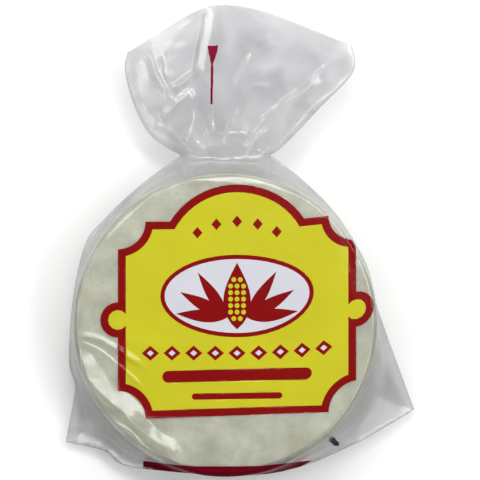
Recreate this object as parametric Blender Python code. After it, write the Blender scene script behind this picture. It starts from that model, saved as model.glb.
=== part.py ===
"""A clear bag of corn tortillas, lying on its back with its printed side up.

The bag is one closed solid: a body drawn tight over a round stack of tortillas, two flat film
corners at the hem, a gathered neck, and the fan of loose film above the neck. The front and the
back of the bag are two sheets that meet in a narrow wall round the bag's outline. Each sheet is
a set of rings from the rim of the stack out to the outline, and rows from the neck to the mouth.

+Z is up, out of the printed side, and +Y runs from the hem to the mouth. The origin is the
middle of the bag's own box, at the level that it rests on. Lengths are in metres.
"""

import math

import bmesh
import bpy
from mathutils import Vector

# Driving dimensions of the stack
TORTILLA_DIAMETER = 0.152
STACK_HEIGHT = 0.050
TOP_CENTRE = (-0.0072, -0.0416)
BOTTOM_CENTRE = (-0.0057, -0.0430)  # the stack leans a little to the right and to the hem
RIM_ROUNDING = 0.004

# The bag's outline, as points (x, y, height of the seam) that a smooth curve runs through
LEFT_SEAM = (
    (-0.0302, 0.0432, 0.026),
    (-0.0595, 0.0218, 0.026),
    (-0.0800, -0.0035, 0.025),
    (-0.0868, -0.0330, 0.022),
    (-0.0882, -0.0590, 0.017),
    (-0.0866, -0.0800, 0.012),
    (-0.0910, -0.1055, 0.007),
)
HEM = (
    (-0.0910, -0.1055, 0.007),
    (-0.0560, -0.1165, 0.016),
    (0.0000, -0.1212, 0.022),
    (0.0540, -0.1078, 0.016),
    (0.0912, -0.0882, 0.007),
)
RIGHT_SEAM = (
    (0.0912, -0.0882, 0.007),
    (0.0806, -0.0610, 0.014),
    (0.0706, -0.0340, 0.021),
    (0.0606, -0.0030, 0.025),
    (0.0392, 0.0245, 0.026),
    (0.0156, 0.0432, 0.026),
)
FAN_LEFT = (
    (-0.0302, 0.0432, 0.026),
    (-0.0442, 0.0528, 0.027),
    (-0.0540, 0.0680, 0.028),
    (-0.0596, 0.0870, 0.026),
    (-0.0585, 0.0975, 0.024),
)
FAN_RIGHT = (
    (0.0156, 0.0432, 0.026),
    (0.0262, 0.0528, 0.028),
    (0.0432, 0.0700, 0.029),
    (0.0574, 0.0860, 0.030),
    (0.0581, 0.1010, 0.031),
)
MOUTH = (
    (-0.0585, 0.0975, 0.024),
    (-0.0350, 0.1110, 0.028),
    (-0.0095, 0.1218, 0.029),
    (0.0280, 0.1125, 0.029),
    (0.0581, 0.1010, 0.031),
)

# Film
SEAM_THICKNESS = 0.0012
NECK_THICKNESS = 0.011
MOUTH_THICKNESS = 0.009
HOLLOW = 1.6  # over 1, the film falls from the rim of the stack as a hollow curve
NECK_PLEATS = 8
NECK_PLEAT_DEPTH = 0.0010
FAN_FOLDS = 3.5
FAN_FOLD_DEPTH = 0.0020

# Mesh density
SEAM_STEPS = 18
HEM_STEPS = 30
NECK_STEPS = 36
FAN_STEPS = 14
RING_STEPS = 5

FILM_COLOUR = (0.74, 0.75, 0.66, 1.0)
FILM_ROUGHNESS = 0.25


def smooth_path(points, steps):
    """Points along a smooth curve through the given points, both ends included."""
    points = [Vector(point) for point in points]
    last = len(points) - 1
    path = []
    for step in range(steps + 1):
        place = last * step / steps
        index = min(int(place), last - 1)
        share = place - index
        before, start, end, after = (
            points[min(max(index + offset, 0), last)] for offset in (-1, 0, 1, 2)
        )
        bend = 2 * before - 5 * start + 4 * end - after
        twist = 3 * start - before - 3 * end + after
        path.append(start + 0.5 * share * (end - before + share * (bend + share * twist)))
    return path


def swell(across):
    """From 0 at the two seams to 1 halfway between them, as the arch of a half ellipse."""
    return math.sqrt(max(0.0, 1 - (2 * across - 1) ** 2))


def neck_offset(side, across):
    """How far the gathered film stands off the neck's middle, pleats included."""
    thickness = SEAM_THICKNESS + (NECK_THICKNESS - SEAM_THICKNESS) * swell(across)
    pleat = NECK_PLEAT_DEPTH * swell(across) * math.cos(2 * math.pi * NECK_PLEATS * across)
    return side * (thickness / 2 + pleat)


def body_edge(side):
    """The body's closed outline on one side of the bag, from the neck's left end and round."""
    seam = smooth_path(LEFT_SEAM, SEAM_STEPS)[:-1]
    seam += smooth_path(HEM, HEM_STEPS)[:-1]
    seam += smooth_path(RIGHT_SEAM, SEAM_STEPS)[:-1]
    edge = [point + Vector((0, 0, side * SEAM_THICKNESS / 2)) for point in seam]
    right = Vector(RIGHT_SEAM[-1])
    left = Vector(LEFT_SEAM[0])
    for step in range(NECK_STEPS):
        share = step / NECK_STEPS
        edge.append(right.lerp(left, share) + Vector((0, 0, neck_offset(side, 1 - share))))
    return edge


def body_rings(side):
    """Rings from the stack's flat face, over its rounded rim, and out to the outline."""
    centre = Vector(TOP_CENTRE if side > 0 else BOTTOM_CENTRE)
    face_height = STACK_HEIGHT if side > 0 else 0.0
    radius = TORTILLA_DIAMETER / 2
    edge = body_edge(side)
    rays = [(point.xy - centre).normalized() for point in edge]

    def ring(distance, drop):
        height = face_height - side * drop
        return [(centre + ray * distance).to_3d() + Vector((0, 0, height)) for ray in rays]

    rings = [ring(radius - RIM_ROUNDING, 0.0)]
    for angle in (math.radians(45), math.radians(80)):
        out = radius - RIM_ROUNDING * (1 - math.sin(angle))
        rings.append(ring(out, RIM_ROUNDING * (1 - math.cos(angle))))
    rim = rings[-1]
    for step in range(1, RING_STEPS + 1):
        out = step / RING_STEPS
        sunk = 1 - (1 - out) ** HOLLOW
        row = []
        for start, end in zip(rim, edge):
            point = start.lerp(end, out)
            point.z = start.z + (end.z - start.z) * sunk
            row.append(point)
        rings.append(row)
    return rings


def fan_rows(side):
    """Rows across the loose film, from just above the neck to the mouth."""
    left = smooth_path(FAN_LEFT, FAN_STEPS)
    right = smooth_path(FAN_RIGHT, FAN_STEPS)
    mouth = smooth_path(MOUTH, NECK_STEPS)
    rows = []
    for step in range(1, FAN_STEPS + 1):
        up = step / FAN_STEPS
        chord_left = left[0].lerp(left[-1], up)
        chord_right = right[0].lerp(right[-1], up)
        row = []
        for column in range(NECK_STEPS + 1):
            across = column / NECK_STEPS
            point = left[0].lerp(right[0], across).lerp(mouth[column], up)
            point += (left[step] - chord_left) * (1 - across)
            point += (right[step] - chord_right) * across
            thickness = SEAM_THICKNESS + (MOUTH_THICKNESS - SEAM_THICKNESS) * swell(across)
            fold = FAN_FOLD_DEPTH * swell(across) * math.cos(2 * math.pi * FAN_FOLDS * across)
            point.z += neck_offset(side, across) * (1 - up) + (side * thickness / 2 + fold) * up
            row.append(point)
        rows.append(row)
    return rows


def add_quads(shape, low, high):
    """A strip of faces between two rows of vertices."""
    for step in range(len(low) - 1):
        shape.faces.new((low[step], low[step + 1], high[step + 1], high[step]))


def bag_mesh(name):
    """The closed mesh: both sheets and the narrow wall round their outline."""
    shape = bmesh.new()
    walls = []
    for side in (1, -1):
        rings = [[shape.verts.new(point) for point in ring] for ring in body_rings(side)]
        shape.faces.new(rings[0])
        for inner, outer in zip(rings, rings[1:]):
            add_quads(shape, inner + inner[:1], outer + outer[:1])
        edge = rings[-1]
        neck = [edge[0], *reversed(edge[-NECK_STEPS:])]
        rows = [neck, *([shape.verts.new(point) for point in row] for row in fan_rows(side))]
        for low, high in zip(rows, rows[1:]):
            add_quads(shape, low, high)
        seams = edge[: len(edge) - NECK_STEPS + 1]
        fan_edge = [row[-1] for row in rows] + rows[-1][-2::-1] + [row[0] for row in rows[-2::-1]]
        walls.append(seams + fan_edge[1:])
    add_quads(shape, *walls)
    bmesh.ops.recalc_face_normals(shape, faces=shape.faces)
    mesh = bpy.data.meshes.new(name)
    shape.to_mesh(mesh)
    shape.free()
    return mesh


def stand_on_origin(mesh):
    """Move a mesh so that the origin is at the middle of the bottom of its box."""
    axes = [[vertex.co[axis] for vertex in mesh.vertices] for axis in range(3)]
    shift = Vector((min(axes[0]) + max(axes[0]), min(axes[1]) + max(axes[1]), 2 * min(axes[2])))
    for vertex in mesh.vertices:
        vertex.co -= shift / 2


def film_material():
    material = bpy.data.materials.new("film")
    material.use_nodes = True
    surface = material.node_tree.nodes["Principled BSDF"]
    surface.inputs["Base Color"].default_value = FILM_COLOUR
    surface.inputs["Roughness"].default_value = FILM_ROUGHNESS
    return material


for leftover in list(bpy.data.objects):
    bpy.data.objects.remove(leftover)

pack = bpy.data.collections.new("tortilla_pack")
bpy.context.scene.collection.children.link(pack)

bag = bpy.data.objects.new("tortilla_bag", bag_mesh("tortilla_bag"))
stand_on_origin(bag.data)
bag.data.materials.append(film_material())
bag.data.shade_smooth()
bag.data.set_sharp_from_angle(angle=math.radians(40))
pack.objects.link(bag)
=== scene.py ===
"""Looks for a clear film bag of corn tortillas that lies on its back, seen from straight above.

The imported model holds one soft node, tortilla_bag, the bag's outer form. Here the tortillas are
stacked inside it, the film is drawn over them, and the film's inks are laid on the film.
Lengths are in metres unless a name ends in _MM. +Y runs from the hem to the mouth.
"""

import math

import bmesh
import bpy
import numpy as np
from mathutils.geometry import delaunay_2d_cdt
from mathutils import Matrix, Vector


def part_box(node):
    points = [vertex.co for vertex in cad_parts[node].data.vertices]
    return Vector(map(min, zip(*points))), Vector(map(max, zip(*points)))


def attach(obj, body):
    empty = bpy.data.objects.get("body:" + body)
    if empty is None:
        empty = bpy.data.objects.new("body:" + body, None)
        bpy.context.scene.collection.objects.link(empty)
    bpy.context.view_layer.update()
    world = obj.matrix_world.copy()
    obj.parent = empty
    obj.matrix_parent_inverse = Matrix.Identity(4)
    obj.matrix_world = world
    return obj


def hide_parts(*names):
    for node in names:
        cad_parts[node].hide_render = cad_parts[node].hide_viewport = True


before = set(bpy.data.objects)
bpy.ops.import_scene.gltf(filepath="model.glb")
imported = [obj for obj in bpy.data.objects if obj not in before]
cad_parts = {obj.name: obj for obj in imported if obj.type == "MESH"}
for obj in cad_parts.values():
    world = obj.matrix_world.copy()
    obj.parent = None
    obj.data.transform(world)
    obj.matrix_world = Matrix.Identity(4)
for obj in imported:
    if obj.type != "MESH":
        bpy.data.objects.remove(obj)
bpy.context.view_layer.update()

bag_low, bag_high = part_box("tortilla_bag")
MM = 0.001


# ---------------------------------------------------------------------------
# The tortillas. Thirty rounds of pressed white corn dough, griddled and
# stacked warm, so each is a little uneven and lies a little off the next.
# ---------------------------------------------------------------------------
TORTILLA_COUNT = 30
TORTILLA_RADIUS = 0.0756
TORTILLA_PITCH = 0.001625
TORTILLA_THICKNESS = 0.00158
STACK_FOOT = 0.0005
STACK_CENTRE = (-0.0064, -0.0452)  # of the bottom tortilla
STACK_LEAN = (-0.0006, 0.0026)
STACK_SPREAD = 0.0006  # how much wider the bottom tortilla is pressed than the top one
TOP_SLIP = (-0.0010, 0.0009)  # how far the top few tortillas lie off the rest
TOP_RUN = 3
MIDDLE_SLIP = (-0.0017, -0.0013)  # and how far two runs of them below do
MIDDLE_RUN = (0.76, 0.15)  # the middle of the run and half its length, as shares of the stack
LOWER_SLIP = (0.0017, -0.0012)
LOWER_RUN = (0.45, 0.15)
RIM_BULGE = 0.009  # the rim's round edge, as a share of the radius
RIM_THINNING = 0.34
SLOW_WAVE = 0.035  # how much the whole stack undulates, as a share of the height


def add_node(tree, kind, inputs=None, **settings):
    """A node with its settings made, and each given input linked to a socket or set."""
    node = tree.nodes.new(kind)
    for name, value in settings.items():
        setattr(node, name, value)
    for name, value in (inputs or {}).items():
        socket = node.inputs[name]
        if isinstance(value, bpy.types.NodeSocket):
            tree.links.new(value, socket)
        else:
            socket.default_value = value
    return node


def maths(tree, operation, *values):
    """A Math node's result."""
    node = add_node(tree, "ShaderNodeMath", dict(enumerate(values)), operation=operation)
    return node.outputs[0]


def vectors(tree, operation, *values, result="Vector"):
    """A Vector Math node's result."""
    names = (0, "Scale") if operation == "SCALE" else (0, 1)
    node = add_node(tree, "ShaderNodeVectorMath", dict(zip(names, values)), operation=operation)
    return node.outputs[result]


def two_tones(tree, factor, low, high):
    """A colour ramp's result between two stops, each a place and a colour."""
    ramp = add_node(tree, "ShaderNodeValToRGB", {"Fac": factor})
    for stop, (place, colour) in zip(ramp.color_ramp.elements, (low, high)):
        stop.position = place
        stop.color = (*colour, 1)
    return ramp.outputs["Color"]


def add_bump(tree, surface, height, strength, distance):
    """Fine relief on a shader's surface."""
    inputs = {"Height": height, "Strength": strength, "Distance": distance}
    bump = add_node(tree, "ShaderNodeBump", inputs)
    tree.links.new(bump.outputs["Normal"], surface.inputs["Normal"])


def new_material(name, **settings):
    """A Principled material, its tree, its surface shader and the Object coordinates."""
    material = bpy.data.materials.new(name)
    material.use_nodes = True
    tree = material.node_tree
    surface = tree.nodes["Principled BSDF"]
    for socket, value in settings.items():
        surface.inputs[socket.replace("_", " ")].default_value = value
    place = tree.nodes.new("ShaderNodeTexCoord").outputs["Object"]
    return material, tree, surface, place


def tortilla_dough():
    """Matt cream dough: soft mottling, dimples from the press, and a few toasted specks."""
    material, tree, surface, place = new_material("tortilla_dough", Roughness=0.72)
    mottle = add_node(
        tree,
        "ShaderNodeTexNoise",
        {"Vector": place, "Scale": 95.0, "Detail": 5.0, "Roughness": 0.6},
    )
    dough = two_tones(
        tree, mottle.outputs["Fac"], (0.36, (0.47, 0.49, 0.29)), (0.62, (0.61, 0.63, 0.40))
    )
    specks = add_node(
        tree, "ShaderNodeTexVoronoi", {"Vector": place, "Scale": 190.0, "Randomness": 1.0}
    )
    toast = two_tones(
        tree, specks.outputs["Distance"], (0.05, (0.55, 0.55, 0.55)), (0.16, (0, 0, 0))
    )
    mixed = add_node(tree, "ShaderNodeMix", {"Factor": toast}, data_type="RGBA")
    tree.links.new(dough, mixed.inputs["A"])
    mixed.inputs["B"].default_value = (0.38, 0.30, 0.15, 1)
    tree.links.new(mixed.outputs["Result"], surface.inputs["Base Color"])
    grain = add_node(
        tree, "ShaderNodeTexNoise", {"Vector": place, "Scale": 420.0, "Detail": 3.0}
    )
    add_bump(tree, surface, grain.outputs["Fac"], 0.35, 0.0004)
    return material


def tortilla_stack_tree(dough):
    """Geometry nodes that make one tortilla, stack copies of it and make each one uneven."""
    tree = bpy.data.node_groups.new("tortilla_stack", "GeometryNodeTree")
    sizes = (
        ("Count", "NodeSocketInt", TORTILLA_COUNT),
        ("Radius", "NodeSocketFloat", TORTILLA_RADIUS),
        ("Thickness", "NodeSocketFloat", TORTILLA_THICKNESS),
        ("Pitch", "NodeSocketFloat", TORTILLA_PITCH),
        ("Foot", "NodeSocketVector", (*STACK_CENTRE, STACK_FOOT + TORTILLA_THICKNESS / 2)),
        ("Lean", "NodeSocketVector", (*STACK_LEAN, 0.0)),
        ("Top Slip", "NodeSocketVector", (*TOP_SLIP, 0.0)),
        ("Middle Slip", "NodeSocketVector", (*MIDDLE_SLIP, 0.0)),
        ("Lower Slip", "NodeSocketVector", (*LOWER_SLIP, 0.0)),
        ("Scatter", "NodeSocketFloat", 0.0004),
        ("Unevenness", "NodeSocketFloat", 0.0011),
        ("Crown", "NodeSocketFloat", 0.022),
        ("Spread", "NodeSocketFloat", STACK_SPREAD),
        ("Seed", "NodeSocketInt", 4),
    )
    for name, kind, value in sizes:
        socket = tree.interface.new_socket(name, in_out="INPUT", socket_type=kind)
        socket.default_value = value
    tree.interface.new_socket("Geometry", in_out="OUTPUT", socket_type="NodeSocketGeometry")
    given = tree.nodes.new("NodeGroupInput").outputs

    # One tortilla: rings closer together near the rim, which thins and rounds off
    disc = add_node(
        tree,
        "GeometryNodeMeshCylinder",
        {"Vertices": 112, "Side Segments": 4, "Fill Segments": 9, "Radius": 1.0, "Depth": 2.0},
        fill_type="TRIANGLE_FAN",
    ).outputs["Mesh"]
    position = tree.nodes.new("GeometryNodeInputPosition").outputs[0]
    raw = add_node(tree, "ShaderNodeSeparateXYZ", {"Vector": position}).outputs
    flat = add_node(tree, "ShaderNodeCombineXYZ", {"X": raw["X"], "Y": raw["Y"]}).outputs[0]
    out = vectors(tree, "LENGTH", flat, result="Value")
    spread = maths(tree, "SINE", maths(tree, "MULTIPLY", out, math.pi / 2))
    bulge = maths(tree, "MULTIPLY", maths(tree, "POWER", raw["Z"], 2.0), -RIM_BULGE)
    at_rim = maths(tree, "GREATER_THAN", out, 0.999)
    reach = maths(tree, "MULTIPLY_ADD", bulge, at_rim, spread)
    radius = maths(tree, "MULTIPLY", reach, given["Radius"])
    plan = vectors(tree, "SCALE", vectors(tree, "NORMALIZE", flat), radius)
    thin = maths(tree, "MULTIPLY_ADD", maths(tree, "POWER", reach, 18.0), -RIM_THINNING, 1.0)
    half = maths(tree, "MULTIPLY", given["Thickness"], 0.5)
    level = maths(tree, "MULTIPLY", maths(tree, "MULTIPLY", raw["Z"], half), thin)
    flat_plan = add_node(tree, "ShaderNodeSeparateXYZ", {"Vector": plan}).outputs
    shaped = add_node(
        tree, "ShaderNodeCombineXYZ", {"X": flat_plan["X"], "Y": flat_plan["Y"], "Z": level}
    ).outputs[0]
    tortilla = add_node(
        tree, "GeometryNodeSetPosition", {"Geometry": disc, "Position": shaped}
    ).outputs["Geometry"]

    # The stack: one point each, leaning a little, all scattered, and three runs of them slipped
    points = add_node(tree, "GeometryNodeMeshLine", {"Count": given["Count"]}).outputs["Mesh"]
    index = tree.nodes.new("GeometryNodeInputIndex").outputs["Index"]
    last = maths(tree, "SUBTRACT", given["Count"], 1.0)
    up = maths(tree, "DIVIDE", index, last)
    rise = add_node(
        tree, "ShaderNodeCombineXYZ", {"Z": maths(tree, "MULTIPLY", index, given["Pitch"])}
    ).outputs[0]
    scatter = add_node(
        tree,
        "FunctionNodeRandomValue",
        {0: (-1.0, -1.0, 0.0), 1: (1.0, 1.0, 0.0), "ID": index, "Seed": given["Seed"]},
        data_type="FLOAT_VECTOR",
    ).outputs["Value"]
    is_top = maths(tree, "GREATER_THAN", index, maths(tree, "SUBTRACT", last, TOP_RUN - 0.5))
    is_middle = maths(tree, "COMPARE", up, *MIDDLE_RUN)
    is_lower = maths(tree, "COMPARE", up, *LOWER_RUN)
    centre = vectors(tree, "ADD", given["Foot"], rise)
    for direction, amount in (
        (given["Lean"], up),
        (scatter, given["Scatter"]),
        (given["Top Slip"], is_top),
        (given["Middle Slip"], is_middle),
        (given["Lower Slip"], is_lower),
    ):
        centre = vectors(tree, "ADD", centre, vectors(tree, "SCALE", direction, amount))
    placed = add_node(
        tree, "GeometryNodeSetPosition", {"Geometry": points, "Position": centre}
    ).outputs["Geometry"]
    turn = add_node(
        tree,
        "FunctionNodeRandomValue",
        {2: 0.0, 3: 2 * math.pi, "ID": index, "Seed": given["Seed"]},
        data_type="FLOAT",
    ).outputs[1]
    turned = add_node(tree, "ShaderNodeCombineXYZ", {"Z": turn}).outputs[0]
    stacked = add_node(
        tree,
        "GeometryNodeInstanceOnPoints",
        {"Points": placed, "Instance": tortilla, "Rotation": turned},
    ).outputs["Instances"]
    real = add_node(tree, "GeometryNodeRealizeInstances", {"Geometry": stacked}).outputs["Geometry"]

    # Uneven outlines that differ from one to the next, one slow wave through all, a low crown
    here = tree.nodes.new("GeometryNodeInputPosition").outputs[0]
    from_foot = vectors(tree, "SUBTRACT", here, given["Foot"])
    parts = add_node(tree, "ShaderNodeSeparateXYZ", {"Vector": from_foot}).outputs
    beside = add_node(tree, "ShaderNodeCombineXYZ", {"X": parts["X"], "Y": parts["Y"]}).outputs[0]
    off_middle = vectors(tree, "LENGTH", beside, result="Value")
    distance = maths(tree, "DIVIDE", off_middle, given["Radius"])
    layer = maths(tree, "ROUND", maths(tree, "DIVIDE", parts["Z"], given["Pitch"]))
    apart = add_node(
        tree,
        "ShaderNodeCombineXYZ",
        {"X": parts["X"], "Y": parts["Y"], "Z": maths(tree, "MULTIPLY", layer, 0.31)},
    ).outputs[0]
    wobble = add_node(
        tree, "ShaderNodeTexNoise", {"Vector": apart, "Scale": 22.0, "Detail": 2.0}
    ).outputs["Fac"]
    wobble = maths(tree, "SUBTRACT", wobble, 0.5)
    wobble = maths(tree, "MULTIPLY", wobble, maths(tree, "POWER", distance, 6.0))
    depth = maths(tree, "SUBTRACT", 1.0, maths(tree, "DIVIDE", layer, given["Count"]))
    spread_out = maths(tree, "MULTIPLY", maths(tree, "MULTIPLY", depth, distance), given["Spread"])
    out_by = maths(tree, "MULTIPLY_ADD", wobble, given["Unevenness"], spread_out)
    outward = vectors(tree, "SCALE", vectors(tree, "NORMALIZE", beside), out_by)
    flattened = vectors(tree, "MULTIPLY", here, (1.0, 1.0, 0.5))
    wave = add_node(tree, "ShaderNodeTexNoise", {"Vector": flattened, "Scale": 26.0}).outputs["Fac"]
    wave = maths(tree, "MULTIPLY", maths(tree, "SUBTRACT", wave, 0.5), SLOW_WAVE)
    crown = maths(tree, "MULTIPLY", maths(tree, "POWER", distance, 5.0), given["Crown"])
    lift = maths(tree, "MULTIPLY", maths(tree, "SUBTRACT", wave, crown), parts["Z"])
    upward = add_node(tree, "ShaderNodeCombineXYZ", {"Z": lift}).outputs[0]
    shift = vectors(tree, "ADD", outward, upward)
    uneven = add_node(
        tree, "GeometryNodeSetPosition", {"Geometry": real, "Offset": shift}
    ).outputs["Geometry"]
    smooth = add_node(tree, "GeometryNodeSetShadeSmooth", {"Geometry": uneven}).outputs["Geometry"]
    clad = add_node(
        tree, "GeometryNodeSetMaterial", {"Geometry": smooth, "Material": dough}
    ).outputs["Geometry"]
    add_node(tree, "NodeGroupOutput", {"Geometry": clad})
    return tree


def realized(name, tree):
    """A plain mesh object with what a geometry node tree makes."""
    host = bpy.data.objects.new(name + "_host", bpy.data.meshes.new(name + "_host"))
    bpy.context.scene.collection.objects.link(host)
    host.modifiers.new("make", "NODES").node_group = tree
    evaluated = host.evaluated_get(bpy.context.evaluated_depsgraph_get())
    mesh = bpy.data.meshes.new_from_object(evaluated)
    bpy.data.objects.remove(host)
    mesh.name = name
    piece = bpy.data.objects.new(name, mesh)
    bpy.context.scene.collection.objects.link(piece)
    return piece


# Where the tight film bends the top of the stack down: the two ends of each straight bend, in
# millimetres, with the outer side on the right, and how steeply it goes down from there
BENDS_MM = (
    ((-48.2, 19.2), (-64.1, 3.7), 0.19),
    ((-28.4, 29.2), (-48.1, 21.1), 0.16),
    ((2.0, 28.9), (-29.0, 30.9), 0.16),
    ((36.6, 20.4), (17.0, 26.8), 0.18),
    ((-76.2, -73.2), (-46.2, -100.1), 0.60),
)


def bend_drop(plan):
    """How far the bends lower the top of the stack at each point, seen from above."""
    drop = np.zeros(len(plan))
    for start, end, slope in BENDS_MM:
        start, run = np.array(start) * MM, (np.array(end) - start) * MM
        outward = np.array((run[1], -run[0])) / np.linalg.norm(run)
        drop = np.maximum(drop, slope * ((plan - start) @ outward))
    return drop


tortillas = realized("tortillas", tortilla_stack_tree(tortilla_dough()))
corners = np.empty(len(tortillas.data.vertices) * 3)
tortillas.data.vertices.foreach_get("co", corners)
corners = corners.reshape(-1, 3)
share_up = (corners[:, 2] / bag_high.z).clip(0, 1) ** 3
corners[:, 2] -= bend_drop(corners[:, :2]) * share_up
tortillas.data.vertices.foreach_set("co", corners.ravel())
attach(tortillas, "root")


# ---------------------------------------------------------------------------
# The film. A bag of clear polyethylene, welded along its hem, drawn tight over
# the stack and gathered into a neck, with its mouth fanned out above. The front
# and the back are cut as flat sheets of small triangles, shaped, and joined.
# ---------------------------------------------------------------------------
FRONT, BACK = 1, -1
FILM_TOP = bag_high.z + 0.0004
FILM_FLOOR = 0.0001
RIM_RADIUS = {FRONT: 0.0776, BACK: 0.0778}
RIM_ROUNDING = 0.0028
RIM_TURN = math.radians(78)
CROWN_DROP = 0.0011
HUG = 0.9  # how closely the film follows the side of the stack, away from the neck
FILM_CENTRE = {FRONT: np.array((-0.0075, -0.0421)), BACK: np.array((-0.0065, -0.0449))}
FILM_LEAN = np.array((0.0002, -0.0032))  # how far the stack's foot lies off the film's middle
NECK_STANDS_OFF = (np.pi / 2, 0.8)  # where the film stands off the stack: direction, spread
FOLD_STANDS_OFF = (-2.5, 0.65, 0.5)  # and how far, if not all the way
CORNER_STANDS_OFF = (-0.75, 0.45, 0.45)
TIGHT_FALL = ((0.10, 0.62), (0.16, 0.96))  # the fall's two inner points, as shares out and down
LOOSE_FALL = ((0.14, 0.50), (0.50, 0.94))
NECK_THICKNESS = 0.009
PLEATS_MM = ((0.14, 4.3, 1.0), (0.05, 9.7, 2.3))  # height, number across, share of the phase
PLEAT_PHASE = {FRONT: 0.7, BACK: 2.1}
WANDER_MM = ((0.7, 9.0, 0.4), (0.25, 23.0, 0.0))  # the neck's line: height, rate, phase
FAN_THICKNESS = 0.005
FAN_ROLL = (0.0008, 1.92, 0.12)  # the fan's slow roll: height, waves across, phase
FAN_SIZE = np.array((0.100, 0.080))  # the fan's flat sheet
SPACING = {FRONT: 0.00092, BACK: 0.0019}

# Crumpling, as flat facets: their size, seed, height on the stack, and what is added off it
BODY_FACETS = ((0.014, 3, 0.00030, 0.00022), (0.006, 5, 0.00007, 0.00013))
LONG_FACETS = (0.010, 0.00050, 23)  # in the fan: their size, height and seed
SMALL_FACETS = (0.0045, 0.00022, 7)
FACET_LENGTHENING = 0.40

# The bag's edge (x, y, height) in millimetres, from the neck's left end down and round
LEFT_EDGE_MM = (
    (-30.7, 43.7, 26), (-52.0, 28.1, 26), (-71.8, 9.3, 25), (-80.6, -3.1, 25), (-86.8, -31.2, 23),
    (-89.0, -62.5, 19), (-86.3, -76.5, 15), (-89.0, -93.6, 10), (-91.5, -106.1, 8),
)
HEM_MM = (
    (-91.5, -106.1, 8), (-71.3, -110.3, 12), (-61.5, -117.2, 15), (-40.0, -120.2, 19),
    (0.0, -122.3, 22), (29.1, -118.6, 21), (59.8, -106.6, 14), (91.5, -89.0, 8),
)
RIGHT_EDGE_MM = (
    (91.5, -89.0, 8), (83.5, -68.0, 14), (75.5, -46.8, 20), (70.2, -31.2, 23), (65.5, -12.5, 25),
    (50.5, 12.5, 26), (32.3, 31.2, 26), (15.6, 43.7, 26),
)
FAN_LEFT_MM = (
    (-30.7, 43.7, 26), (-45.3, 53.0, 27.1), (-54.3, 68.4, 28.2), (-59.4, 86.8, 26.3),
    (-58.4, 97.1, 24.4),
)
FAN_RIGHT_MM = (
    (15.6, 43.7, 26), (24.0, 50.0, 27.5), (41.5, 68.4, 29), (58.3, 86.7, 30), (57.7, 100.3, 31),
)
MOUTH_MM = (
    (-58.4, 97.1, 24.4), (-44.3, 105.3, 26.8), (-23.8, 117.6, 29.1), (-9.3, 121.3, 29.1),
    (12.9, 117.7, 29.1), (45.8, 105.1, 30.4), (57.7, 100.3, 31),
)

# Folds in the film, in millimetres: the points their crest runs through, its height, and how wide
# the slopes on its left and its right are
BODY_FOLDS_MM = (
    # the fan of tension folds from the left rim to the lower right
    (
        ((-85.5, -47.5), (-72.1, -50.8), (-67.1, -53.3), (-58.4, -58.4), (-45.0, -67.5)),
        0.98,
        (3.4, 1.8),
    ),
    (
        ((-85.5, -50.0), (-72.1, -55.9), (-63.5, -62.5), (-55.9, -68.6), (-46.0, -78.5)),
        0.52,
        (1.8, 2.4),
    ),
    (
        (
            (-87.0, -56.0), (-81.5, -65.0), (-70.1, -80.3), (-61.5, -85.9), (-54.9, -92.5),
            (-46.0, -100.3),
        ),
        2.8,
        (9.6, 2.4),
    ),
    (
        (
            (-81.5, -65.0), (-70.1, -80.3), (-61.5, -85.9), (-54.9, -92.5), (-46.2, -100.1),
            (-38.0, -107.0),
        ),
        0.15,
        (1.6, 1.0),
    ),
    (
        ((-76.0, -78.5), (-65.5, -91.4), (-55.9, -97.5), (-48.8, -105.2), (-38.0, -113.0)),
        1.3,
        (1.4, 2.0),
    ),
    (((-58.0, -89.5), (-48.5, -98.5), (-41.0, -104.0), (-30.0, -108.5)), 1.9, (6.6, 2.4)),
)
FAN_FOLDS_MM = (
    # down from the mouth
    (((-17.6, 121.0), (-18.9, 109.0), (-21.3, 97.0), (-24.0, 82.0)), 1.3, (4.6, 1.6)),
    (((5.8, 97.0), (0.5, 88.0), (-2.5, 82.0), (-4.0, 76.0)), 0.45, (1.6, 1.2)),
    (((-52.0, 99.5), (-46.0, 94.0), (-43.5, 86.0), (-39.5, 78.5), (-34.0, 70.0)), 0.8, (2.2, 3.4)),
    (((-40.5, 96.0), (-39.0, 89.0), (-38.5, 83.0)), 0.35, (1.5, 1.0)),
    (((-35.5, 77.5), (-29.0, 81.0), (-23.0, 86.0)), 0.6, (3.2, 1.8)),
    (((-40.0, 61.5), (-33.0, 68.5), (-23.5, 76.5)), 0.75, (4.4, 3.2)),
    # up from the neck
    (
        ((-1.0, 46.0), (11.2, 62.5), (21.3, 71.1), (32.5, 78.2), (40.6, 86.9), (52.0, 96.0)),
        0.36,
        (1.4, 1.4),
    ),
    (((13.0, 62.5), (22.9, 71.0), (32.0, 77.5), (40.0, 85.0)), 0.75, (1.4, 6.2)),
    (((-14.5, 68.0), (-14.8, 62.0), (-13.5, 55.0)), 0.32, (1.3, 1.0)),
    (((-11.0, 54.0), (-4.0, 54.9), (3.5, 55.0)), 0.3, (1.2, 1.0)),
    (((8.0, 47.0), (12.0, 44.5), (17.0, 42.5)), 0.3, (1.2, 1.0)),
    (((-30.0, 50.0), (-26.0, 58.0), (-24.0, 68.0)), 0.4, (2.0, 2.0)),
    (((-8.0, 46.0), (-6.0, 58.0), (-1.0, 68.0)), 0.4, (2.0, 2.0)),
    (((-22.0, 44.5), (-17.0, 52.0), (-19.0, 60.0)), 0.35, (1.6, 1.2)),
    (((2.0, 44.5), (6.5, 52.0), (15.0, 59.0)), 0.4, (1.2, 1.8)),
    (((-44.0, 60.0), (-36.5, 56.5), (-29.0, 49.0)), 0.5, (1.8, 2.6)),
)


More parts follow.
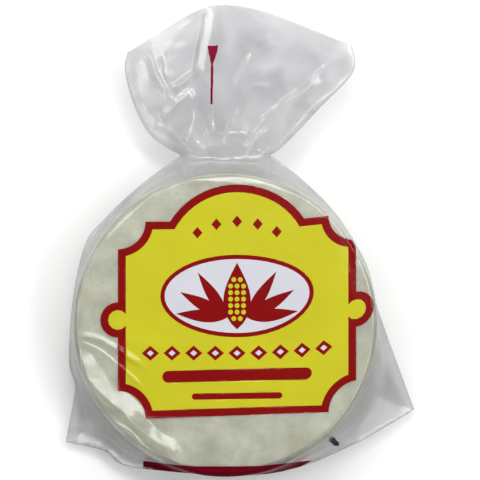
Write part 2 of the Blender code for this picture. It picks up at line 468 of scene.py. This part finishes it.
def smooth_path(points, steps):
    """Points along a smooth curve through the given points, both ends included."""
    points = np.asarray(points, float)
    last = len(points) - 1
    place = np.linspace(0, last, steps + 1)
    index = np.minimum(place.astype(int), last - 1)
    share = (place - index)[:, None]
    before, start, end, after = (points[np.clip(index + step, 0, last)] for step in (-1, 0, 1, 2))
    bend = 2 * before - 5 * start + 4 * end - after
    twist = 3 * start - before - 3 * end + after
    return start + 0.5 * share * (end - before + share * (bend + share * twist))


def swell(across):
    """From 0 at the two sides to 1 between them, as the arch of a half ellipse."""
    return np.sqrt(np.clip(1 - (2 * across - 1) ** 2, 0, 1))


def hexagon_grid(left, right, low, high, spacing):
    """Evenly spread points, in rows that are half a step apart."""
    rows = np.arange(low, high, spacing * math.sqrt(3) / 2)
    columns = np.arange(left, right, spacing)
    x, y = np.meshgrid(columns, rows)
    x[1::2] += spacing / 2
    return np.stack([x.ravel(), y.ravel()], 1)


def facets(plan, spacing, height, seed):
    """Relief of crumpled film: flat facets between points at random heights."""
    chance = np.random.default_rng(seed)
    low, high = plan.min(0) - 2 * spacing, plan.max(0) + 2 * spacing
    knots = hexagon_grid(low[0], high[0], low[1], high[1], spacing)
    knots += chance.uniform(-0.4, 0.4, knots.shape) * spacing
    level = chance.uniform(-1, 1, len(knots)) * height
    made = delaunay_2d_cdt([tuple(knot) for knot in knots], [], [], 0, 1e-9, True)
    relief = np.zeros(len(plan))
    for triangle in made[2]:
        a, b, c = knots[triangle]
        (bx, by), (cx, cy) = b - a, c - a
        near = np.where((np.abs(plan - (a + b + c) / 3) < 1.5 * spacing).all(1))[0]
        x, y = (plan[near] - a).T
        turn = bx * cy - by * cx
        toward_b, toward_c = (x * cy - y * cx) / turn, (bx * y - by * x) / turn
        within = (toward_b >= 0) & (toward_c >= 0) & (toward_b + toward_c <= 1)
        height_here = (1 - toward_b - toward_c) * level[triangle[0]]
        height_here += toward_b * level[triangle[1]] + toward_c * level[triangle[2]]
        relief[near[within]] = height_here[within]
    return relief


def neck_offset(side, across):
    """How far the gathered film stands off the neck's middle. Its pleats are uneven."""
    phase = PLEAT_PHASE[side]
    pleat = sum(
        height * np.cos(2 * np.pi * number * across + share * phase)
        for height, number, share in PLEATS_MM
    )
    return side * swell(across) * (NECK_THICKNESS / 2 + pleat * MM)


def neck_wander(across):
    """How far the neck's line strays up and down the bag."""
    strays = (height * np.sin(rate * across + phase) for height, rate, phase in WANDER_MM)
    return swell(across) * sum(strays) * MM


NECK_STEPS = 140
neck_across = np.linspace(1, 0, NECK_STEPS + 1)
neck_right = np.array(RIGHT_EDGE_MM[-1]) * MM
neck_left = np.array(LEFT_EDGE_MM[0]) * MM


def body_edge(side):
    """The body's edge on one side of the bag, as a closed ring of points."""
    runs = (LEFT_EDGE_MM, 190), (HEM_MM, 240), (RIGHT_EDGE_MM, 190)
    seams = [smooth_path(points, steps)[:-1] * MM for points, steps in runs]
    neck = neck_left + (neck_right - neck_left) * neck_across[:, None]
    neck[:, 1] += neck_wander(neck_across)
    neck[:, 2] += neck_offset(side, neck_across)
    return np.concatenate([*seams, neck[:-1]])


def bezier(corners, share):
    """Points on a cubic curve that starts at the first of four corners and ends at the last."""
    rest = 1 - share
    start, first, second, end = corners
    curve = rest**3 * start + 3 * rest**2 * share * first
    return curve + 3 * rest * share**2 * second + share**3 * end


def bell(angle, direction, spread):
    """1 in one direction, and less to both sides of it."""
    return np.exp(-(((angle - direction) / spread) ** 2))


class Body:
    """One side of the bag's body. Its flat sheet is laid out round the middle of the stack, each
    point as far out as the film reaches there, measured over the top, the rim and the side."""

    def __init__(self, side):
        self.side = side
        self.centre = FILM_CENTRE[side]
        self.level = FILM_TOP if side == FRONT else FILM_FLOOR
        self.flat = RIM_RADIUS[side] - RIM_ROUNDING
        self.bend = RIM_ROUNDING * RIM_TURN
        edge = body_edge(side)
        arm = edge[:, :2] - self.centre
        angle = np.arctan2(arm[:, 1], arm[:, 0])
        order = np.argsort(angle)
        self.angle, self.ring = angle[order], edge[order]
        self.reach = np.linalg.norm(arm, axis=1)[order]
        self.rim_radius = self.flat + RIM_ROUNDING * math.sin(RIM_TURN)
        rim_drop = RIM_ROUNDING * (1 - math.cos(RIM_TURN)) + CROWN_DROP * (side == FRONT)
        self.rim_height = self.level - side * rim_drop
        start = np.tile((self.rim_radius, self.rim_height), (len(self.reach), 1))
        end = np.stack([self.reach, self.ring[:, 2]], 1)
        hug = self.tightness()[:, None]
        inner = (
            start + (end - start) * (hug * tight + (1 - hug) * loose)
            for tight, loose in zip(TIGHT_FALL, LOOSE_FALL)
        )
        self.curve = np.stack([start, *inner, end])
        steps = np.linspace(0, 1, 40)[:, None, None]
        runs = np.diff(bezier(self.curve, steps), axis=0)
        self.fall = np.linalg.norm(runs, axis=2).sum(0)
        self.size = self.flat + self.bend + self.fall

    def tightness(self):
        """How closely the film follows the side of the stack in each direction."""
        near_neck = bell(self.angle, *NECK_STANDS_OFF)
        direction, spread, share = FOLD_STANDS_OFF
        near_fold = share * bell(np.angle(np.exp(1j * (self.angle - direction))), 0, spread)
        direction, spread, share = CORNER_STANDS_OFF
        near_corner = share * bell(self.angle, direction, spread)
        return HUG * (1 - near_neck) * (1 - near_fold) * (1 - near_corner)

    def around(self, values, angle):
        return np.interp(angle, self.angle, values, period=2 * np.pi)

    def outline(self):
        """The flat sheet's edge."""
        return np.stack([np.cos(self.angle), np.sin(self.angle)], 1) * self.size[:, None]

    def section(self, angle, out):
        """Distance from the stack's middle and height, at a distance out over the film."""
        turn = np.clip((out - self.flat) / RIM_ROUNDING, 0, RIM_TURN)
        radius = np.minimum(out, self.flat) + RIM_ROUNDING * np.sin(turn)
        crown = CROWN_DROP * np.clip(radius / self.rim_radius, 0, 1) ** 5 * (self.side == FRONT)
        height = self.level - self.side * (RIM_ROUNDING * (1 - np.cos(turn)) + crown)
        share = np.clip((out - self.flat - self.bend) / self.around(self.fall, angle), 0, 1)
        beyond = [
            bezier([self.around(corner[:, axis], angle) for corner in self.curve], share)
            for axis in (0, 1)
        ]
        radius, height = (np.where(share > 0, *pair) for pair in zip(beyond, (radius, height)))
        return radius, height, share

    def shape(self, sheet):
        """The film's place over points of the flat sheet."""
        angle = np.arctan2(sheet[:, 1], sheet[:, 0])
        radius, height, share = self.section(angle, np.linalg.norm(sheet, axis=1))
        point = np.stack([radius * np.cos(angle), radius * np.sin(angle), height], 1)
        point[:, :2] += self.centre
        if self.side == FRONT:
            depth = 1 - height / self.level
            point[:, :2] += FILM_LEAN * (np.sqrt(depth.clip(0)) * (1 - share**3))[:, None]
            point[:, 2] -= bend_drop(point[:, :2]) * (1 - share)
        return point

    def inside(self, sheet):
        size = self.around(self.size, np.arctan2(sheet[:, 1], sheet[:, 0]))
        return np.linalg.norm(sheet, axis=1) < size - 0.0004

    def slack(self, sheet):
        """From 0 on the sheet's edge to 1 a little way in."""
        size = self.around(self.size, np.arctan2(sheet[:, 1], sheet[:, 0]))
        return np.clip((size - np.linalg.norm(sheet, axis=1)) / 0.006, 0, 1)

    def crumple(self, sheet):
        """The film's small unevenness: slight where it lies on the stack, more where it is free."""
        out = np.linalg.norm(sheet, axis=1)
        free = np.clip((out - self.flat) / 0.012, 0, 1)
        return sum(
            facets(sheet, size, 1, seed) * (height + added * free)
            for size, seed, height, added in BODY_FACETS
        )

    def extent(self):
        most = self.size.max()
        return -most, most, -most, most

    def by_neck(self, sheet):
        """Whether points lie by the gathered neck, where the triangles are small."""
        return (np.abs(sheet[:, 0]) < 0.036) & (sheet[:, 1] > 0.078)


class Fan:
    """One side of the loose film above the neck. Its flat sheet is a rectangle, stretched between
    the two side edges, the neck and the mouth."""

    def __init__(self, side):
        self.side = side
        self.left = smooth_path(FAN_LEFT_MM, 120) * MM
        self.right = smooth_path(FAN_RIGHT_MM, 120) * MM
        self.mouth = smooth_path(MOUTH_MM, 160) * MM

    def outline(self):
        """The flat sheet's edge: the neck, the right side, the mouth and the left side."""
        runs = (
            np.stack([neck_across[::-1], np.zeros(NECK_STEPS + 1)], 1)[:-1],
            np.stack([np.ones(96), np.linspace(0, 1, 96)], 1)[:-1],
            np.stack([np.linspace(1, 0, 130), np.ones(130)], 1)[:-1],
            np.stack([np.zeros(96), np.linspace(1, 0, 96)], 1)[:-1],
        )
        return np.concatenate(runs) * FAN_SIZE

    def shape(self, sheet):
        across, up = (sheet / FAN_SIZE).T

        def along(path, share):
            places = np.linspace(0, 1, len(path))
            return np.stack([np.interp(share, places, path[:, axis]) for axis in range(3)], 1)

        a, u = across[:, None], up[:, None]
        point = neck_left * (1 - a) + neck_right * a
        point = point * (1 - u) + along(self.mouth, across) * u
        point += (along(self.left, up) - self.left[0] * (1 - u) - self.left[-1] * u) * (1 - a)
        point += (along(self.right, up) - self.right[0] * (1 - u) - self.right[-1] * u) * a
        gather = neck_offset(self.side, across) * (1 - up) ** 1.5
        bow = 4 * across * (1 - across)
        open_side = self.side * bow * FAN_THICKNESS / 2 * (1 - (1 - up) ** 1.5)
        height, waves, phase = FAN_ROLL
        roll = height * np.sin(2 * np.pi * (waves * across + phase)) * up * bow
        point[:, 1] += neck_wander(across) * (1 - up) ** 6
        point[:, 2] += gather + open_side + roll
        return point

    def inside(self, sheet):
        return (sheet > 0.0005).all(1) & (sheet < FAN_SIZE - 0.0005).all(1)

    def slack(self, sheet):
        """From 0 on the sheet's edge to 1 a little way in."""
        return np.clip(np.minimum(sheet, FAN_SIZE - sheet).min(1) / 0.007, 0, 1)

    def crumple(self, sheet):
        """The film's small unevenness: long facets that run up from the neck."""
        across, up = sheet[:, 0], sheet[:, 1]
        lengthened = np.stack([across, up * FACET_LENGTHENING], 1)
        near_neck = 1 - up / FAN_SIZE[1]
        broad = facets(lengthened, *LONG_FACETS) * (0.5 + 0.5 * near_neck)
        return broad + facets(sheet, *SMALL_FACETS) * (0.25 + 0.75 * near_neck**1.5)

    def extent(self):
        return 0, FAN_SIZE[0], 0, FAN_SIZE[1]

    def by_neck(self, sheet):
        return np.zeros(len(sheet), bool)


# ---------------------------------------------------------------------------
# The print. Opaque inks, run on the flat film before it was made into a bag: a
# plaque with a corn ear and leaves in an oval, a line along the hem, a mark in
# the fan and the printer's dark eye mark.
# ---------------------------------------------------------------------------
LABEL_CENTRE_MM = np.array((-1.5, -40.4))
LABEL_HALF_MM = (60.5, 50.0)
CORNER_RADIUS_MM = 14
LOBE_RADIUS_MM = 9
ARCH_RADIUS_MM = 40
ARCH_SUNK_MM = 21  # how far the arch's middle lies below the label's upper edge
BORDER_MM = 4.0
WELD = 0.0005  # how far the ink stays off the bag's edge
LENS_DISTANCE = 1.25  # from the lens to the top of the stack
LABEL_PULL = 0.0016  # the film draws the label's right side up, more the further out
HEM_LEFT_MM = -49.2  # the hem's band: its left end, its upper edge and where its lower edge tapers
HEM_UPPER_MM = (
    (-49.2, -112.3), (-45.0, -112.6), (-38.6, -113.4), (-30.5, -114.4), (-22.0, -114.9),
    (0.0, -114.9), (10.0, -114.7), (18.3, -113.8), (26.4, -113.0), (36.8, -112.0),
)
HEM_LOWER_MM = ((16.0, -124.0), (23.0, -116.9), (30.5, -115.2), (36.8, -112.0))
HEM_SWEEP = (-122.0, -55.0, 0.5)  # the directions from the stack's middle that it spans, in degrees
HEM_INNER = 0.068  # where on the sheet the search for it starts
FAN_MARK_MM = (
    (-16.5, 98.5), (-15.9, 95.0), (-14.7, 89.6), (-15.1, 68.6), (-13.9, 69.0), (-13.6, 89.6),
    (-11.4, 95.7), (-11.2, 99.0),
)
TRACE_SPACING = 0.0004
TRACE_STEP = 0.0012
OUTER_PREFERENCE = 0.06  # of places on the sheet that show alike, the outer ones are taken
EYE_MARK_MM = (
    (45.1, -102.0), (47.9, -104.5), (50.1, -104.5), (50.4, -103.2), (47.8, -100.2), (46.1, -100.2),
)


def arc(centre, radius, start, end, steps=10):
    """Points along an arc between two angles in degrees, both ends included."""
    angle = np.radians(np.linspace(start, end, steps + 1))
    return [(centre[0] + radius * math.cos(a), centre[1] + radius * math.sin(a)) for a in angle]


def oval(centre, half_width, half_height, steps=48):
    x, y = centre
    angle = np.linspace(0, 2 * np.pi, steps, endpoint=False)
    return [(x + half_width * math.cos(a), y + half_height * math.sin(a)) for a in angle]


def leaf(root, tip, width):
    """A leaf with two curved sides between its root and its tip."""
    root, tip = np.array(root, float), np.array(tip, float)
    across = np.array((root[1] - tip[1], tip[0] - root[0])) / np.linalg.norm(tip - root)
    share = np.linspace(0, 1, 13)[:, None]
    spine = root * (1 - share) + tip * share
    belly = width / 2 * np.sin(np.pi * share**0.8) * across
    return [*(spine + belly), *(spine - belly)[-2:0:-1]]


def bar(centre, width, height):
    """A bar with round ends."""
    half = width / 2 - height / 2
    right = arc((centre[0] + half, centre[1]), height / 2, -90, 90, 8)
    return right + arc((centre[0] - half, centre[1]), height / 2, 90, 270, 8)


def diamond(centre, half_width, half_height):
    x, y = centre
    return [(x + half_width, y), (x, y + half_height), (x - half_width, y), (x, y - half_height)]


def plaque(inset):
    """The label's outline, moved in by a margin: hollow corners, a lobe at each end and an arch."""
    across, up = LABEL_HALF_MM
    corner_radius = CORNER_RADIUS_MM + inset
    lobe_radius = LOBE_RADIUS_MM - inset
    arch_radius = ARCH_RADIUS_MM - inset
    arch_rise = ARCH_SUNK_MM - inset
    corner_cut = math.degrees(math.asin(inset / corner_radius))
    lobe_cut = math.degrees(math.asin(inset / lobe_radius))
    arch_start = math.degrees(math.asin(arch_rise / arch_radius))
    right = arc((across, -up), corner_radius, 180 - corner_cut, 90 + corner_cut)
    right += arc((across, 0), lobe_radius, -90 - lobe_cut, 90 + lobe_cut)
    right += arc((across, up), corner_radius, 270 - corner_cut, 180 + corner_cut)
    right += arc((0, up - ARCH_SUNK_MM), arch_radius, arch_start, 90)
    return right + [(-x, y) for x, y in right[-2::-1]]


def as_seen(points):
    """Where points show from the lens above, on the level of the top of the stack."""
    return points[:, :2] * LENS_DISTANCE / (LENS_DISTANCE + bag_high.z - points[:, 2:])


def traced(patch, seen_mm):
    """The outline on a flat sheet that comes to show at the given places, from the lens above."""
    sheet = hexagon_grid(*patch.extent(), TRACE_SPACING)
    sheet = sheet[patch.inside(sheet)]
    shown = as_seen(patch.shape(sheet))
    inner = -OUTER_PREFERENCE * np.linalg.norm(sheet, axis=1)
    corners = np.array([*seen_mm, seen_mm[0]]) * MM
    outline = []
    for start, end in zip(corners, corners[1:]):
        steps = math.ceil(math.dist(start, end) / TRACE_STEP)
        for share in np.linspace(0, 1, steps, endpoint=False):
            place = start + share * (end - start)
            outline.append(sheet[(np.linalg.norm(shown - place, axis=1) + inner).argmin()])
    return np.array(outline)


def hem_band(body):
    """The hem's band on the flat sheet, from its upper edge out to the weld."""
    inner, outer = [], []
    for angle in np.radians(np.arange(*HEM_SWEEP)):
        reach = np.linspace(HEM_INNER, body.around(body.size, angle) - WELD, 700)
        sheet = reach[:, None] * (math.cos(angle), math.sin(angle))
        x, y = as_seen(body.shape(sheet)).T / MM
        below = y <= np.interp(x, *zip(*HEM_UPPER_MM))
        above = y >= np.interp(x, *zip(*HEM_LOWER_MM))
        inked = sheet[below & above & (x >= HEM_LEFT_MM) & (x <= HEM_UPPER_MM[-1][0])]
        if len(inked):
            inner.append(inked[0])
            outer.append(inked[-1])
    return np.array(inner + outer[::-1])


def label_shapes():
    """The label's inks in the order they are run, in millimetres from the label's middle."""
    yield "red_print", plaque(0)
    yield "yellow_print", plaque(BORDER_MM)
    yield "red_print", oval((0, 12), 39, 21)
    yield "pale_print", oval((0, 12), 36.8, 18.8)
    for side in (-1, 1):
        for tip, width in (((31, 3), 6.5), ((29, 14), 6.5), ((20, 24), 6.0)):
            yield "red_print", leaf((side * 5, 1), (side * tip[0], tip[1]), width)
    yield "red_print", leaf((0, -5), (0, 29), 14)
    for row, columns in enumerate(((-0.5, 0.5), *((-1, 0, 1),) * 5, (-0.5, 0.5))):
        for column in columns:
            yield "yellow_print", oval((column * 3.3, 0.5 + 3.3 * row), 1.25, 1.25, 12)
    for place in range(-4, 5):
        yield "red_print", diamond((place * 11, -17), 4.4, 3.8)
        yield "pale_print", diamond((place * 11, -17), 1.8, 1.5)
    yield "red_print", bar((0, -29), 76, 6)
    yield "red_print", bar((0, -39), 46, 3.2)
    for angle in (58, 74, 90, 106, 122):
        (spot,) = arc((0, 12), 38, angle, angle, 0)
        yield "red_print", diamond(spot, 2.6, 3.0)


def body_print(body):
    """The inks on the front of the body, as shapes on its flat sheet."""
    run = []
    for ink, shape in label_shapes():
        plan = np.array(shape) + LABEL_CENTRE_MM
        plan[:, 1] += LABEL_PULL * np.clip(plan[:, 0], 0, None) ** 2
        run.append((ink, plan * MM - body.centre))
    run.append(("hem_print", hem_band(body)))
    run.append(("dark_print", traced(body, EYE_MARK_MM)))
    return run


def fan_print(fan):
    """The ink on the front of the fan, as a shape on its flat sheet."""
    return [("mark_print", traced(fan, FAN_MARK_MM))]


# ---------------------------------------------------------------------------
# The bag. The flat sheets are cut into small triangles, also along the edges of
# the inks, drawn over the stack, folded and joined. Each ink is the same film
# surface again, lifted by the ink's own thickness.
# ---------------------------------------------------------------------------
FINE_SLOPE = 0.12  # folds steeper than this are cut into small triangles
NARROW_FOLD = 0.003  # if their slopes are narrower than this
FOLD_FADE = 0.2  # how much of a fold's length it takes to rise at each end
STEEP_CRUMPLE = 0.4  # what share of the crumpling is left where the film stands upright
JOIN_DISTANCE = 0.00001
NECK_TURN = 0.004  # how far above and below the neck the film's turn is rounded
NECK_ROUNDS = 14
INK_LIFT = 0.00004


def fine_zone(patch, sheet, folds_mm):
    """Where a patch needs small triangles: along its folds and by the gathered neck."""
    slope = fold_relief(patch.shape(sheet)[:, :2], folds_mm, steepness=True)
    return (slope > FINE_SLOPE) | patch.by_neck(sheet)


def grid(patch, folds_mm):
    """Points inside a patch's flat sheet, closer together where they have to be."""
    spacing = SPACING[patch.side]
    layers = []
    for step, fine in ((spacing, False), (spacing / 2, True)):
        points = hexagon_grid(*patch.extent(), step)
        points = points[patch.inside(points)]
        layers.append(points[fine_zone(patch, points, folds_mm) == fine])
    return np.concatenate(layers)


def counterclockwise(shape):
    """The same outline, reversed if it runs clockwise."""
    after = np.roll(shape, -1, axis=0)
    turned = np.sum(shape[:, 0] * after[:, 1] - shape[:, 1] * after[:, 0])
    return shape if turned > 0 else shape[::-1]


def cut_sheet(patch, folds_mm, shapes=()):
    """Triangles over a patch's flat sheet, cut along the edges of the shapes printed on it.
    Returns the points, the triangles, and the number of the last shape that each lies in."""
    outline = patch.outline()
    points = [*outline, *grid(patch, folds_mm)]
    faces = [list(range(len(outline)))]
    for shape in shapes:
        faces.append(list(range(len(points), len(points) + len(shape))))
        points += list(counterclockwise(np.asarray(shape)))
    made = delaunay_2d_cdt([tuple(p) for p in points], [], faces, 1, 1e-7, True)
    triangles = [(face, owners) for face, owners in zip(made[2], made[5]) if 0 in owners]
    return (
        np.array([tuple(p) for p in made[0]]),
        np.array([face for face, owners in triangles]),
        np.array([max(owners) for face, owners in triangles]),
    )


def fold_relief(plan, folds_mm, steepness=False):
    """How far the folds lift the film at each point, seen from above, or how steeply."""
    relief = np.zeros(len(plan))
    for points, height, widths in folds_mm:
        path = smooth_path(points, 24) * MM
        nearest = np.full(len(plan), np.inf)
        along = np.zeros(len(plan))
        on_left = np.zeros(len(plan), bool)
        for step, (start, end) in enumerate(zip(path, path[1:])):
            run, arm = end - start, plan - start
            share = np.clip((arm @ run) / (run @ run), 0, 1)
            gap = np.linalg.norm(arm - share[:, None] * run, axis=1)
            closer = gap < nearest
            nearest = np.where(closer, gap, nearest)
            along = np.where(closer, (step + share) / (len(path) - 1), along)
            on_left = np.where(closer, run[0] * arm[:, 1] > run[1] * arm[:, 0], on_left)
        fade = np.clip(np.minimum(along, 1 - along) / FOLD_FADE, 0, 1)
        fade = fade * fade * (3 - 2 * fade)
        width = np.where(on_left, *widths) * MM
        if steepness:
            relief += height * MM / width * fade * (nearest < width) * (width < NARROW_FOLD)
        else:
            relief += height * MM * fade * np.clip(1 - nearest / width, 0, 1)
    return relief


def vertex_normals(points, triangles):
    """Unit normals of a mesh's points, weighted by the area of the triangles round them."""
    corners = points[triangles]
    normal = np.cross(corners[:, 1] - corners[:, 0], corners[:, 2] - corners[:, 0])
    total = np.zeros_like(points)
    for corner in range(3):
        np.add.at(total, triangles[:, corner], normal)
    return total / np.linalg.norm(total, axis=1, keepdims=True).clip(1e-12)


def shaped_patch(patch, folds_mm, print_run=()):
    """A patch's points in place with its folds raised, its outward triangles and their inks."""
    shapes = [shape for _, shape in print_run]
    sheet, triangles, owners = cut_sheet(patch, folds_mm, shapes)
    if patch.side == BACK:
        triangles = triangles[:, ::-1]
    points = patch.shape(sheet)
    normals = vertex_normals(points, triangles)
    slack = patch.slack(sheet)
    raised = fold_relief(points[:, :2], folds_mm) * slack
    flatness = STEEP_CRUMPLE + (1 - STEEP_CRUMPLE) * np.abs(normals[:, 2])
    points = points + normals * (patch.crumple(sheet) * slack * flatness)[:, None]
    points[:, 2] += raised
    inks = np.array([""] + [ink for ink, _ in print_run])[owners]
    return points, triangles, inks


def film_crinkle(tree, surface, place):
    """The fine crinkle of handled film, as a bump."""
    coarse = add_node(
        tree,
        "ShaderNodeTexNoise",
        {"Vector": place, "Scale": 130.0, "Detail": 2.0, "Roughness": 0.5},
        noise_type="RIDGED_MULTIFRACTAL",
    )
    add_bump(tree, surface, coarse.outputs["Fac"], 0.35, 0.0002)


def clear_film():
    """Clear polyethylene, faintly milky. Its grey base colour is mottled at random, partly the
    film's own milkiness and partly painted reflection patches.
    """
    material, tree, surface, place = new_material(
        "clear_film",
        Roughness=0.26,
        Alpha=0.40,
        Specular_IOR_Level=1.0,
        Coat_Weight=1.0,
        Coat_Roughness=0.12,
    )
    # Painted reflection: this noise mottles the film's base colour into lighter and darker milky
    # patches that stand in for the film's sheen, besides its own slight milkiness
    milky_and_reflection_noise = add_node(
        tree,
        "ShaderNodeTexNoise",
        {"Vector": place, "Scale": 70.0, "Detail": 3.0, "Distortion": 0.6},
    )
    milk_and_painted_reflection = two_tones(
        tree, milky_and_reflection_noise.outputs["Fac"], (0.34, (0.32, 0.31, 0.33)), (0.68, (0.56, 0.55, 0.575))
    )
    tree.links.new(milk_and_painted_reflection, surface.inputs["Base Color"])
    film_crinkle(tree, surface, place)
    return material


def film_ink(name, colour, gloss):
    """Opaque ink under gloss film, a little uneven in density."""
    material, tree, surface, place = new_material(
        name,
        Roughness=0.28,
        Specular_IOR_Level=gloss / 3,
        Coat_Weight=gloss,
        Coat_Roughness=0.08,
    )
    cloud = add_node(tree, "ShaderNodeTexNoise", {"Vector": place, "Scale": 35.0, "Detail": 3.0})
    thin = [0.93 * part for part in colour]
    tone = two_tones(tree, cloud.outputs["Fac"], (0.3, thin), (0.7, colour))
    tree.links.new(tone, surface.inputs["Base Color"])
    film_crinkle(tree, surface, place)
    return material


def joined_mesh(name, parts, material):
    """One smooth mesh piece from (points, triangles) parts, joined where their points meet."""
    starts = np.cumsum([0] + [len(points) for points, _ in parts])
    shape = bmesh.new()
    rows = [shape.verts.new(point) for points, _ in parts for point in points]
    for (_, triangles), start in zip(parts, starts):
        for triangle in triangles + start:
            shape.faces.new([rows[corner] for corner in triangle])
    bmesh.ops.remove_doubles(shape, verts=shape.verts, dist=JOIN_DISTANCE)
    mesh = bpy.data.meshes.new(name)
    shape.to_mesh(mesh)
    shape.free()
    mesh.shade_smooth()
    mesh.materials.append(material)
    piece = bpy.data.objects.new(name, mesh)
    bpy.context.scene.collection.objects.link(piece)
    return piece


def soften_neck(piece):
    """Rounds the film's turn from the body into the fan, where stiff film doesn't crease."""
    shape = bmesh.new()
    shape.from_mesh(piece.data)
    turning = [point for point in shape.verts if abs(point.co.y - neck_left[1]) < NECK_TURN]
    for _ in range(NECK_ROUNDS):
        bmesh.ops.smooth_vert(shape, verts=turning, factor=0.5, use_axis_z=True)
    shape.to_mesh(piece.data)
    shape.free()


front_body, front_fan = Body(FRONT), Fan(FRONT)
patches = (
    shaped_patch(front_body, BODY_FOLDS_MM, body_print(front_body)),
    shaped_patch(front_fan, FAN_FOLDS_MM, fan_print(front_fan)),
    shaped_patch(Body(BACK), ()),
    shaped_patch(Fan(BACK), ()),
)
film = joined_mesh("film_bag", [(p, t) for p, t, _ in patches], clear_film())
soften_neck(film)
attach(film, "root")
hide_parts("tortilla_bag")

# Each ink piece's slot, colour and gloss
INKS = {
    "yellow_print": ("yellow_print", (0.535, 0.505, 0.016), 0.3),
    "red_print": ("red_print", (0.215, 0.0008, 0.0010), 0.22),
    "pale_print": ("pale_print", (0.60, 0.60, 0.655), 0.3),
    "dark_print": ("dark_print", (0.018, 0.018, 0.02), 0.06),
    "hem_print": ("red_print", (0.12, 0.0012, 0.008), 0.03),
    "mark_print": ("red_print", (0.20, 0.002, 0.026), 0.15),
}
for ink, (slot, colour, gloss) in INKS.items():
    parts = []
    for points, triangles, inks in patches:
        inked = triangles[inks == ink]
        if not len(inked):
            continue
        normals = vertex_normals(points, triangles)
        used, corners = np.unique(inked, return_inverse=True)
        parts.append((points[used] + normals[used] * INK_LIFT, corners.reshape(-1, 3)))
    layer = joined_mesh(ink, parts, film_ink(ink, colour, gloss))
    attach(layer, "root")


# ---------------------------------------------------------------------------
# The stage. A plain pale table, soft studio lights, and a long lens straight
# above the pack.
# ---------------------------------------------------------------------------
bpy.ops.mesh.primitive_plane_add(size=6.0)
table = bpy.context.object
table.name = "table"
paper, _, _, _ = new_material("pale_paper", Roughness=0.9, Base_Color=(0.96, 0.96, 0.96, 1))
table.data.materials.append(paper)


def soft_light(name, place, power, width, height):
    """A rectangular lamp that faces the middle of the pack."""
    lamp = bpy.data.lights.new(name, "AREA")
    lamp.shape = "RECTANGLE"
    lamp.energy = power
    lamp.size = width
    lamp.size_y = height
    light = bpy.data.objects.new(name, lamp)
    light.location = place
    middle = (bag_low + bag_high) / 2
    light.rotation_euler = (middle - light.location).to_track_quat("-Z", "Y").to_euler()
    bpy.context.scene.collection.objects.link(light)


soft_light("key", (0.27, 0.32, 1.09), 5.1, 0.85, 0.18)
soft_light("head", (-0.20, 0.50, 1.09), 3.9, 0.9, 0.18)
soft_light("fill", (0.53, -0.18, 1.05), 2.2, 0.68, 0.16)
soft_light("side", (-0.60, -0.12, 1.05), 1.4, 0.5, 0.2)
soft_light("foot", (-0.10, -0.64, 0.95), 0.8, 0.5, 0.3)
soft_light("low", (0.0, 1.25, 0.42), 4.5, 0.9, 0.4)

world = bpy.data.worlds.new("studio")
world.use_nodes = True
world.node_tree.nodes["Background"].inputs["Color"].default_value = (1.0, 1.0, 1.0, 1)
world.node_tree.nodes["Background"].inputs["Strength"].default_value = 0.29
bpy.context.scene.world = world
bpy.context.scene.view_settings.view_transform = "Standard"

SEEN_WIDTH = 0.2438  # what the picture spans at the top of the stack
camera = bpy.data.cameras.new("camera")
camera.lens = camera.sensor_width * LENS_DISTANCE / SEEN_WIDTH
camera.clip_start = 0.05
viewer = bpy.data.objects.new("camera", camera)
viewer.location = (0, 0, bag_high.z + LENS_DISTANCE)
bpy.context.scene.collection.objects.link(viewer)
bpy.context.scene.camera = viewer
